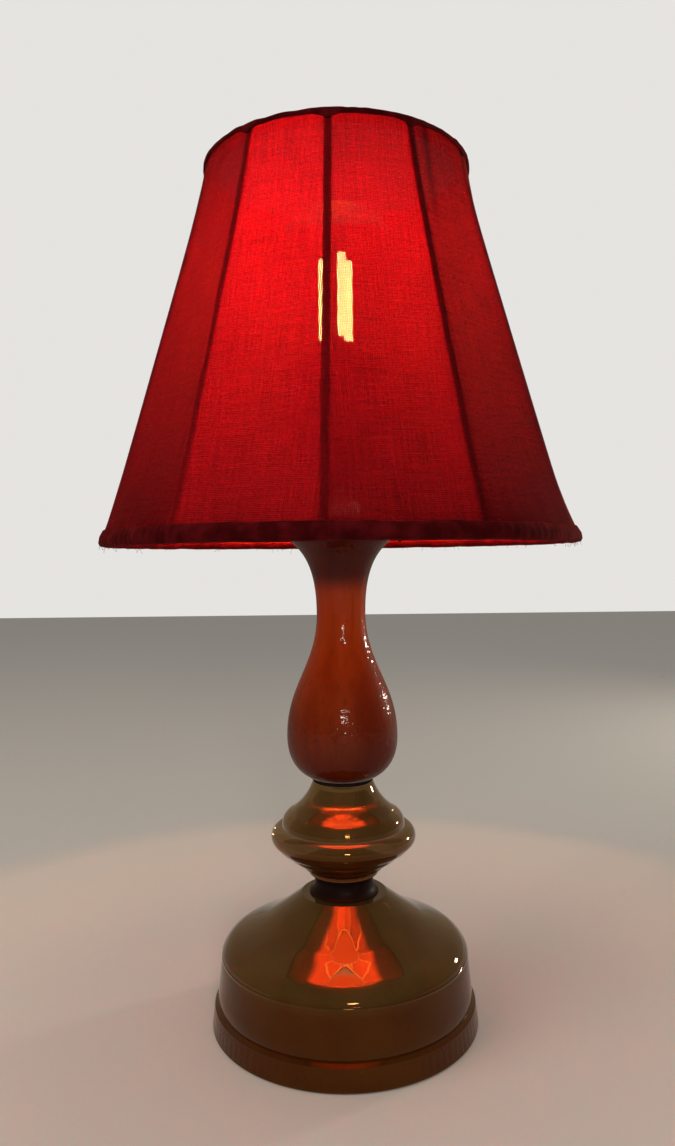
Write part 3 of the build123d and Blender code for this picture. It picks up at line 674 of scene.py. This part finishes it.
# %% Glow for mirrors
def glow_in_mirrors(tree, surface, colour, strength, unevenness=1.0):
    """Adds light that only mirrors see; it fades towards the hem, which the bulb hardly reaches."""
    height = place(tree, "ShaderNodeSeparateXYZ", {0: object_place(tree)}).outputs[2]
    reached = fade(tree, height, cloth_low.z + 0.06, cloth_low.z + 0.1, 0.025, 1.0)
    ray = place(tree, "ShaderNodeLightPath").outputs
    outside = fade(tree, ray["Transparent Depth"], 0, 1, strength, 0.0)
    mirrored = calc(tree, "MULTIPLY", ray["Is Glossy Ray"], outside)
    amount = calc(tree, "MULTIPLY", calc(tree, "MULTIPLY", mirrored, reached), unevenness)
    extra = place(tree, "ShaderNodeEmission", {"Color": (*colour, 1), "Strength": amount}).outputs[0]
    return place(tree, "ShaderNodeAddShader", {0: surface, 1: extra}).outputs[0]


# %% Red cloth
CLOTH_PITCH = 0.0007


def tinted(tree, colour, value):
    """A colour times a value."""
    grey = place(tree, "ShaderNodeCombineColor", {0: value, 1: value, 2: value}).outputs[0]
    return blend(tree, 1.0, (*colour, 1), grey, "MULTIPLY")


def thin_cloth(name, day_colour, lit_colour, holes, even_holes, let_through, mirrored_glow=0.0):
    """Cloth that glows when lit from behind. It reads its own UV map in metres."""
    material, tree, shader = new_material(
        name,
        roughness=0.9,
        specular_ior_level=0.04,
        sheen_weight=0.12,
        sheen_roughness=0.4,
        sheen_tint=(1, 0.06, 0.06, 1),
    )
    where = place(tree, "ShaderNodeUVMap", uv_map="UVMap").outputs[0]
    threads = use_group(tree, weave, vector=where, pitch=CLOTH_PITCH, unevenness=0.5)
    tone = place(tree, "ShaderNodeAttribute", attribute_name="tone").outputs["Fac"]
    grain = place(tree, "ShaderNodeTexNoise", {"Vector": where, "Scale": 950.0, "Detail": 1.0}).outputs[0]
    uneven = calc(tree, "MULTIPLY", fade(tree, threads["Thread"], 0.3, 0.7, 0.76, 1.24), tone)
    uneven = calc(tree, "MULTIPLY", fade(tree, grain, 0.25, 0.75, 0.8, 1.2), uneven)
    # Painted shade: the day colour darkens where the weave is low, between the threads.
    tone_and_thread_shade = calc(tree, "MULTIPLY", uneven, fade(tree, threads["Height"], 0.0, 0.9, 0.6, 1.1))
    tree.links.new(tinted(tree, day_colour, tone_and_thread_shade), shader.inputs["Base Color"])
    relief = bump(tree, shader, threads["Height"], 0.00012, 0.6)
    inputs = {"Color": tinted(tree, lit_colour, uneven), "Normal": relief}
    glow_through = place(tree, "ShaderNodeBsdfTranslucent", inputs).outputs[0]
    slant = place(tree, "ShaderNodeLayerWeight", {"Blend": 0.5}).outputs["Facing"]
    share = fade(tree, slant, 0.2, 0.95, let_through, let_through * 0.3)
    body = place(tree, "ShaderNodeMixShader", {0: share, 1: shader.outputs[0], 2: glow_through}).outputs[0]
    if mirrored_glow:
        body = glow_in_mirrors(tree, body, (1, 0.085, 0.012), mirrored_glow, uneven)
    clear = place(tree, "ShaderNodeBsdfTransparent").outputs[0]
    hole = calc(tree, "ADD", calc(tree, "MULTIPLY", threads["Gap"], holes), even_holes)
    whole = place(tree, "ShaderNodeMixShader", {0: hole, 1: body, 2: clear}).outputs[0]
    tree.links.new(whole, tree.nodes["Material Output"].inputs["Surface"])
    return material


red_cloth = thin_cloth(
    "red_cloth", (0.12, 0.002, 0.004), (0.95, 0.004, 0.022), holes=0.8, even_holes=0.0, let_through=0.105
)
# Painted light: the cover's inside face is the same cloth, given a far lighter red than its outside so that
# the lit inside looks bright.
cloth_inside_painted_lit = thin_cloth(
    "red_cloth_inside", (0.75, 0.045, 0.025), (0.98, 0.018, 0.04),
    holes=0.0, even_holes=0.3, let_through=0.45, mirrored_glow=24.0,
)
print("cloth:", red_cloth.name, "outside,", cloth_inside_painted_lit.name, "inside")

# %% [markdown]
# ## The cover
# The cover is one skin, sewn from eleven panels over the ribs. A grid is bent round into that skin:
# each of its points goes to the radius that was felt, and small moves add what the needle does.
# Near the hem and the binding the cloth is gathered into short puckers, and one panel at the right
# has a fold beside its rib. Each point keeps a tone that scales the cloth's colour by day and its
# glow when lit. A small random mottle in it is the cloth's own; the rest is painted light and shade.
# Each panel gets its own painted brightness, darker at the right. The cloth is painted lighter low
# down and darker near the top, painted shade darkens it near the hem, and a painted shadow runs
# along the fold.

# %% Cloth grid
PANEL_COLUMNS = 20

cover = bmesh.new()
sheet_map = cover.loops.layers.uv.new("UVMap")
tone_and_painted_light_layer = cover.verts.layers.float.new("tone")
bmesh.ops.create_grid(cover, x_segments=RIBS * PANEL_COLUMNS, y_segments=ROWS, size=0.5)
flat_place = {v: (v.co.x + 0.5, 0.5 - v.co.y) for v in cover.verts}
for face in cover.faces:
    middle = sum(flat_place[v][0] for v in face.verts) / len(face.verts)
    panel = floor(middle * RIBS)
    for loop in face.loops:
        turn_share, down = flat_place[loop.vert]
        row = min(int(down * ROWS + 0.5), ROWS)
        width = 2 * side_radius[row] * sin(pi / RIBS)
        across = panel * 0.1 + (turn_share * RIBS - panel - 0.5) * width
        loop[sheet_map].uv = (across, -side_length[row])
print("cover grid:", len(cover.verts), "points,", len(cover.faces), "faces")

# %% Bend the grid round
FOLD_OFF_RIB, FOLD_WIDTH, FOLD_LENGTH = 0.0075, 0.0016, 0.05


def fold_at(angle, height):
    """How deep the fold beside the right front rib is here, from 0 to 1."""
    right_rib = FIRST_RIB + GORE
    from_top = cloth_high.z - height
    across = (angle - right_rib) * cloth_radius(angle, height) - FOLD_OFF_RIB
    return exp(-((across / FOLD_WIDTH) ** 2)) * max(0, 1 - from_top / FOLD_LENGTH)


for v, (turn_share, down) in flat_place.items():
    angle = FIRST_RIB + 2 * pi * turn_share
    height = cloth_high.z + (cloth_low.z - cloth_high.z) * down
    radius = cloth_radius(angle, height)
    between = sin(pi * rib_share(angle)) ** 2
    near_hem = exp(-(height - cloth_low.z) / 0.010)
    near_top = exp(-(cloth_high.z - height) / 0.007)
    pucker = noise.noise(Vector((cos(angle) * 9, sin(angle) * 9, height * 12)))
    slack = noise.noise(Vector((cos(angle) * 3, sin(angle) * 3, height * 14 + 5)))
    radius += between * (0.0007 * pucker * (near_hem + near_top) + 0.0004 * slack)
    radius -= 0.0008 * fold_at(angle, height) * between
    v.co = on_circle(angle, radius, height)
bmesh.ops.remove_doubles(cover, verts=cover.verts, dist=1e-5)
print("cover closed:", len(cover.verts), "points")

# %% Tone and painted light of the panels
# Painted light and shade: one brightness for each panel, darker at the right.
PANEL_PAINTED_LIGHT = (0.84, 0.54, 0.55, 0.9, 1.0, 0.95, 1.0, 0.9, 0.8, 0.7, 1.08)

for v in cover.verts:
    angle = atan2(v.co.y, v.co.x)
    turn = degrees(angle - FIRST_RIB + 1e-4) % 360
    panel_painted_light = PANEL_PAINTED_LIGHT[min(int(turn / 360 * RIBS), RIBS - 1)]
    mottle = noise.noise(v.co * 60) * 0.05 + noise.noise(v.co * 18) * 0.08
    # Painted shade: the cloth darkens near the hem.
    painted_shade_near_hem = 0.4 * exp(-(v.co.z - cloth_low.z) / 0.022)
    # Painted shadow along the fold beside the right front rib.
    fold_painted_shade = 0.5 * fold_at(angle, v.co.z)
    upwards = (v.co.z - cloth_low.z) / (cloth_high.z - cloth_low.z)
    # Painted light: the cloth is lighter low down and darker near the top; only the mottle is the cloth's
    # own tone.
    v[tone_and_painted_light_layer] = max(0.15, panel_painted_light * (1.2 - 0.38 * upwards) + mottle - painted_shade_near_hem - fold_painted_shade)
tones = [v[tone_and_painted_light_layer] for v in cover.verts]
print("tones from", round(min(tones), 2), "to", round(max(tones), 2))

# %% Cloth cover
THICKNESS = 0.00035


def face_outwards(shape):
    """Turns a skin round the axis so that its faces point away from the axis."""
    bmesh.ops.recalc_face_normals(shape, faces=shape.faces)
    shape.normal_update()
    if sum(f.normal.xy.dot(f.calc_center_median().xy) for f in shape.faces) < 0:
        bmesh.ops.reverse_faces(shape, faces=shape.faces)


face_outwards(cover)
flat_area = sum(f.calc_area() for f in cover.faces)
cloth_cover = new_piece("cloth_cover", cover, "shade", "shade_cloth", red_cloth, cloth_inside_painted_lit)
wall = cloth_cover.modifiers.new("wall", "SOLIDIFY")
wall.thickness = THICKNESS
wall.offset = -1
wall.material_offset = 1
wall.material_offset_rim = 0
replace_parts(cloth_cover, "shade_fabric")
print("flat area of the panels:", round(flat_area, 4), "m2")

# %% [markdown]
# ## Tape
# The binding, the hem and the tape round the wires are the same narrow dark red cotton. It is
# denser than the cover and lets almost no light through, so a Principled shader is enough. Where
# the hem turns up inside the shade it is the cover's own lighter red. The weave is read on Object
# coordinates here: the tape's own threads run every way over the folds. The wires inside the lit
# shade glow in mirrors as the cloth does.

# %% Tape
MEAN_RADIUS = 0.09


def tape_finish(name, dark, light, mirrored_glow=0.0):
    """Woven cotton tape; a turn round the axis times the shade's mean radius is its length."""
    material, tree, shader = new_material(
        name,
        roughness=0.85,
        specular_ior_level=0.03,
        sheen_weight=0.12,
        sheen_roughness=0.35,
        sheen_tint=(1, 0.05, 0.04, 1),
    )
    where = object_place(tree)
    parts = place(tree, "ShaderNodeSeparateXYZ", {0: where}).outputs
    round_it = calc(tree, "MULTIPLY", calc(tree, "ARCTAN2", parts[1], parts[0]), MEAN_RADIUS)
    flat = place(tree, "ShaderNodeCombineXYZ", {0: round_it, 1: parts[2]}).outputs[0]
    threads = use_group(tree, weave, vector=flat, pitch=0.0005, unevenness=0.9)
    cloud = place(tree, "ShaderNodeTexNoise", {"Vector": where, "Scale": 130.0, "Detail": 3.0})
    colour = blend(tree, fade(tree, cloud.outputs[0], 0.35, 0.7), (*dark, 1), (*light, 1))
    # Painted shade: the colour darkens where the weave is low, between the threads.
    between = fade(tree, threads["Height"], 0.1, 0.7, 0.55, 0.0)
    colour = blend(tree, between, colour, (dark[0] * 0.4, 0, 0, 1))
    tree.links.new(colour, shader.inputs["Base Color"])
    bump(tree, shader, threads["Height"], 0.0002, 0.8)
    if mirrored_glow:
        surface = glow_in_mirrors(tree, shader.outputs[0], (1, 0.2, 0.04), mirrored_glow)
        tree.links.new(surface, tree.nodes["Material Output"].inputs["Surface"])
    return material


dark_tape = tape_finish("dark_red_tape", (0.035, 0.001, 0.002), (0.085, 0.004, 0.006))
wire_tape = tape_finish("wire_tape", (0.3, 0.012, 0.01), (0.5, 0.03, 0.02), mirrored_glow=21.0)
hem_inside = tape_finish("hem_inside", (0.12, 0.002, 0.004), (0.24, 0.005, 0.009))
print("tapes:", dark_tape.name, wire_tape.name, hem_inside.name)

# %% [markdown]
# ## Wires
# The frame is bent from 3 mm wire and welded. CAD gives it six sides; here the rings are spun from
# a small circle, and each rib is a round tube that touches the cover's inside. No light comes
# between a rib and the cloth on it, so each rib draws a dark line on the lit shade. A curve with a
# round bevel is the quickest tube. It is turned into a mesh, so that every piece is one. Three bent
# arms join the bottom ring to a plate ring, which sits on the lampholder.

# %% Wire rings
def spin_closed(shape, steps):
    """Spins loose edges once round the axis and closes the seam."""
    geometry = shape.verts[:] + shape.edges[:]
    about = {"cent": (0, 0, 0), "axis": (0, 0, 1), "angle": 2 * pi}
    bmesh.ops.spin(shape, geom=geometry, steps=steps, use_merge=True, **about)
    bmesh.ops.remove_doubles(shape, verts=shape.verts, dist=1e-6)
    loose = [e for e in shape.edges if not e.link_faces]
    bmesh.ops.delete(shape, geom=loose, context="EDGES")
    bmesh.ops.recalc_face_normals(shape, faces=shape.faces)


def spun_line(line, steps):
    """Spins a closed line of (radius, height) points round the axis."""
    shape = bmesh.new()
    corners = [shape.verts.new((x, 0, z)) for x, z in line]
    for one, two in zip(corners, corners[1:] + corners[:1]):
        shape.edges.new((one, two))
    spin_closed(shape, steps)
    return shape


def ring_centre(node):
    """Radius and height of a wire ring's centre line, and its wire's radius."""
    low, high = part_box(node)
    wire = (high.z - low.z) / 2
    return high.x - wire * cos(radians(30)), (low.z + high.z) / 2, wire


def wire_ring(name, node):
    """A round wire ring in the place of a CAD ring."""
    radius, height, wire = ring_centre(node)
    shape = bmesh.new()
    standing = Matrix.Translation((radius, 0, height)) @ Matrix.Rotation(pi / 2, 4, "X")
    bmesh.ops.create_circle(shape, segments=16, radius=wire, cap_ends=False, matrix=standing)
    spin_closed(shape, 180)
    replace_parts(new_piece(name, shape, "shade", "frame_wire", wire_tape), node)


wire_ring("top_ring_wire", "shade_top_ring")
wire_ring("bottom_ring_wire", "shade_bottom_ring")

# %% Ribs
def tube_shape(points, radius, sides=10):
    """A round tube along points, as a bmesh."""
    data = bpy.data.curves.new("tube", "CURVE")
    data.dimensions = "3D"
    data.bevel_depth = radius
    data.bevel_resolution = sides // 2 - 2
    data.use_fill_caps = True
    spline = data.splines.new("POLY")
    spline.points.add(len(points) - 1)
    for spot, point in zip(spline.points, points):
        spot.co = (*point, 1)
    holder = bpy.data.objects.new("tube", data)
    mesh = bpy.data.meshes.new_from_object(holder)
    shape = bmesh.new()
    shape.from_mesh(mesh)
    bpy.data.objects.remove(holder)
    bpy.data.meshes.remove(mesh)
    bmesh.ops.remove_doubles(shape, verts=shape.verts, dist=1e-6)
    return shape


def join_shapes(shapes):
    """Several bmeshes as one."""
    whole = bmesh.new()
    for shape in shapes:
        passing = bpy.data.meshes.new("passing")
        shape.to_mesh(passing)
        whole.from_mesh(passing)
        bpy.data.meshes.remove(passing)
        shape.free()
    return whole


RIB_WIRE = 0.00162
RIB_DEPTH = RIB_WIRE + 0.0003
RIB_STEP = 4


def rib_points(angle):
    """The rib's centre line, just inside the cover and square to it."""
    points = []
    for i in range(0, ROWS + 1, RIB_STEP):
        before, after = max(i - 1, 0), min(i + 1, ROWS)
        along = Vector((side_radius[after] - side_radius[before], side[after] - side[before])).normalized()
        radius = side_radius[i] + along.y * RIB_DEPTH
        points.append(on_circle(angle, radius, side[i] - along.x * RIB_DEPTH))
    return points


ribs = join_shapes([tube_shape(rib_points(FIRST_RIB + GORE * i), RIB_WIRE) for i in range(RIBS)])
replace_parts(new_piece("tape_wrapped_ribs", ribs, "shade", "frame_wire", wire_tape), "shade_ribs")

# %% Fitter
ARMS = 3
ARM_WIRE = 0.0015
ARM_START, ARM_CORNER, BEND = 0.0251, 0.052, 0.006
PLATE_INNER, PLATE_OUTER, PLATE_THICKNESS = 0.0200, 0.0266, 0.002

bottom_radius, bottom_height = ring_centre("shade_bottom_ring")[:2]
plate_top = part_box("shade_fitter")[1].z
arm_height = plate_top - ARM_WIRE
arms = []
for i in range(ARMS):
    angle = FIRST_RIB + GORE / 2 + i * 2 * pi / ARMS
    corner = Vector((ARM_CORNER, arm_height))
    start, end = Vector((ARM_START, arm_height)), Vector((bottom_radius, bottom_height))
    into, out = (corner - start).normalized(), (end - corner).normalized()
    bent = [corner - into * BEND * (1 - t) ** 2 + out * BEND * t**2 for t in (0, 0.25, 0.5, 0.75, 1)]
    arms.append(tube_shape([on_circle(angle, p.x, p.y) for p in (start, *bent, end)], ARM_WIRE, 12))

plate_line = [
    (PLATE_INNER, plate_top - PLATE_THICKNESS),
    (PLATE_OUTER, plate_top - PLATE_THICKNESS),
    (PLATE_OUTER, plate_top),
    (PLATE_INNER, plate_top),
]
plate = spun_line(plate_line, 96)
round_edges(plate, 0.0003, 2)
fitter_finish = hard_finish(
    "painted_wire", (0.10, 0.008, 0.008), (0.16, 0.02, 0.015), 0.35, 0.6, scale=150.0
)
fitter = new_piece(
    "fitter_with_arms", join_shapes([plate, *arms]), "shade", "frame_wire", fitter_finish
)
fitter.visible_glossy = False
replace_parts(fitter, "shade_fitter")

# %% [markdown]
# ## Binding and hem
# Both are tape folded over a ring and sewn by hand, so their edges wander, they are lumpy, and at
# the top small gussets run down over each rib. The fold is a few points in a vertical plane, spun
# round the axis. After that every point is moved a little by noise, and stays on the cover.

# %% Top binding
def gusset(angle):
    """1 over a rib, falling to 0 a few millimetres beside it."""
    share = rib_share(angle)
    beside = min(share, 1 - share) * GORE * side_radius[0]
    return exp(-((beside / 0.0032) ** 1.5))


top_radius, top_height, top_wire = ring_centre("shade_top_ring")
top_edge = side_radius[0]
roof = top_height + top_wire
binding_line = [
    (top_edge + 0.0004, top_height - 0.0008),
    (top_edge + 0.0009, top_height - 0.0004),
    (top_edge + 0.0009, top_height + 0.0008),
    (top_radius + 0.0012, roof + 0.0006),
    (top_radius, roof + 0.0009),
    (top_radius - 0.0014, roof + 0.0003),
    (top_radius - 0.0024, top_height),
    (top_radius - 0.0026, top_height - 0.0025),
    (top_radius - 0.0021, top_height - 0.0026),
    (top_radius - 0.0018, top_height),
    (top_radius, roof + 0.0002),
    (top_edge + 0.0002, top_height + 0.0006),
]
binding = spun_line(binding_line, 48 * RIBS)
for v in binding.verts:
    angle = atan2(v.co.y, v.co.x)
    radius = v.co.xy.length
    outside = radius > top_edge
    lump = noise.noise(Vector((cos(angle) * 14, sin(angle) * 14, v.co.z * 200)))
    height = v.co.z + 0.00025 * lump
    if outside and v.co.z < top_height:
        wander = noise.noise(Vector((cos(angle) * 6, sin(angle) * 6, 3)))
        height -= 0.0026 * gusset(angle) + 0.0004 * (1 + wander)
        radius = cloth_radius(angle, height) + (radius - top_edge)
    v.co = on_circle(angle, radius + 0.00018 * lump, height)
bmesh.ops.recalc_face_normals(binding, faces=binding.faces)
top_binding = new_piece("top_binding_tape", binding, "shade", "binding_cloth", dark_tape)
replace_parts(top_binding, "shade_top_binding")

# %% Hem
STITCHES = 164
TURNED_IN = 0.0014

edge = side_radius[-1]
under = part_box("shade_hem")[0].z
hem_line = [
    (edge + 0.0002, under + 0.0072),
    (edge + 0.0008, under + 0.0070),
    (edge + 0.0013, under + 0.0045),
    (edge + 0.0014, under + 0.0020),
    (edge + 0.0008, under + 0.0006),
    (edge - 0.0012, under + 0.0001),
    (edge - 0.0032, under + 0.0005),
    (edge - 0.0046, under + 0.0016),
    (edge - 0.0050, under + 0.0034),
    (edge - 0.0045, under + 0.0036),
    (edge - 0.0036, under + 0.0019),
    (edge - 0.0018, under + 0.0010),
    (edge + 0.0002, under + 0.0018),
    (edge + 0.0003, under + 0.0035),
]
hem = spun_line(hem_line, 60 * RIBS)
for v in hem.verts:
    angle = atan2(v.co.y, v.co.x)
    radius = v.co.xy.length
    lump = noise.noise(Vector((cos(angle) * 16, sin(angle) * 16, v.co.z * 120)))
    stitch = abs(sin(angle * STITCHES / 2 + 2 * lump))
    height = v.co.z + 0.0003 * lump
    if radius > edge and v.co.z > cloth_low.z:
        height += 0.0009 * noise.noise(Vector((cos(angle) * 7, sin(angle) * 7, 8)))
        radius = cloth_radius(angle, height) + (radius - edge)
    v.co = on_circle(angle, radius + 0.0004 * lump - 0.0003 * stitch, max(height, under))
bmesh.ops.recalc_face_normals(hem, faces=hem.faces)
sewn_hem = new_piece("sewn_hem", hem, "shade", "binding_cloth", dark_tape, hem_inside)
for face in sewn_hem.data.polygons:
    face.material_index = int(face.center.xy.length < edge - TURNED_IN)
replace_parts(sewn_hem, "shade_hem")

# %% [markdown]
# ## Loose threads
# Cut cloth frays. Dozens of fibres hang from the hem and stand out of it, each a thin bent tube.
# The random numbers have a fixed seed, so the lamp is the same every time.

# %% Loose threads
FIBRES = 70
FIBRE_RADIUS = 0.00007

luck = random.Random(7)
fibres = []
for _ in range(FIBRES):
    angle = luck.uniform(0, 2 * pi)
    start = on_circle(angle, edge + luck.uniform(-0.003, 0.0012), under + 0.0006)
    outwards = Vector((cos(angle), sin(angle), 0)) * luck.uniform(-0.2, 0.9)
    way = (outwards + Vector((luck.uniform(-1, 1), luck.uniform(-1, 1), -0.5))).normalized()
    reach = luck.uniform(0.001, 0.0035)
    points = []
    for t in (0, 0.35, 0.7, 1):
        droop = Vector((0, 0, -0.0012)) * t * t * luck.uniform(0.2, 1)
        points.append(start + way * reach * t + droop)
    fibres.append(tube_shape(points, FIBRE_RADIUS, 4))
loose_threads = new_piece("loose_threads", join_shapes(fibres), "shade", "binding_cloth", dark_tape)
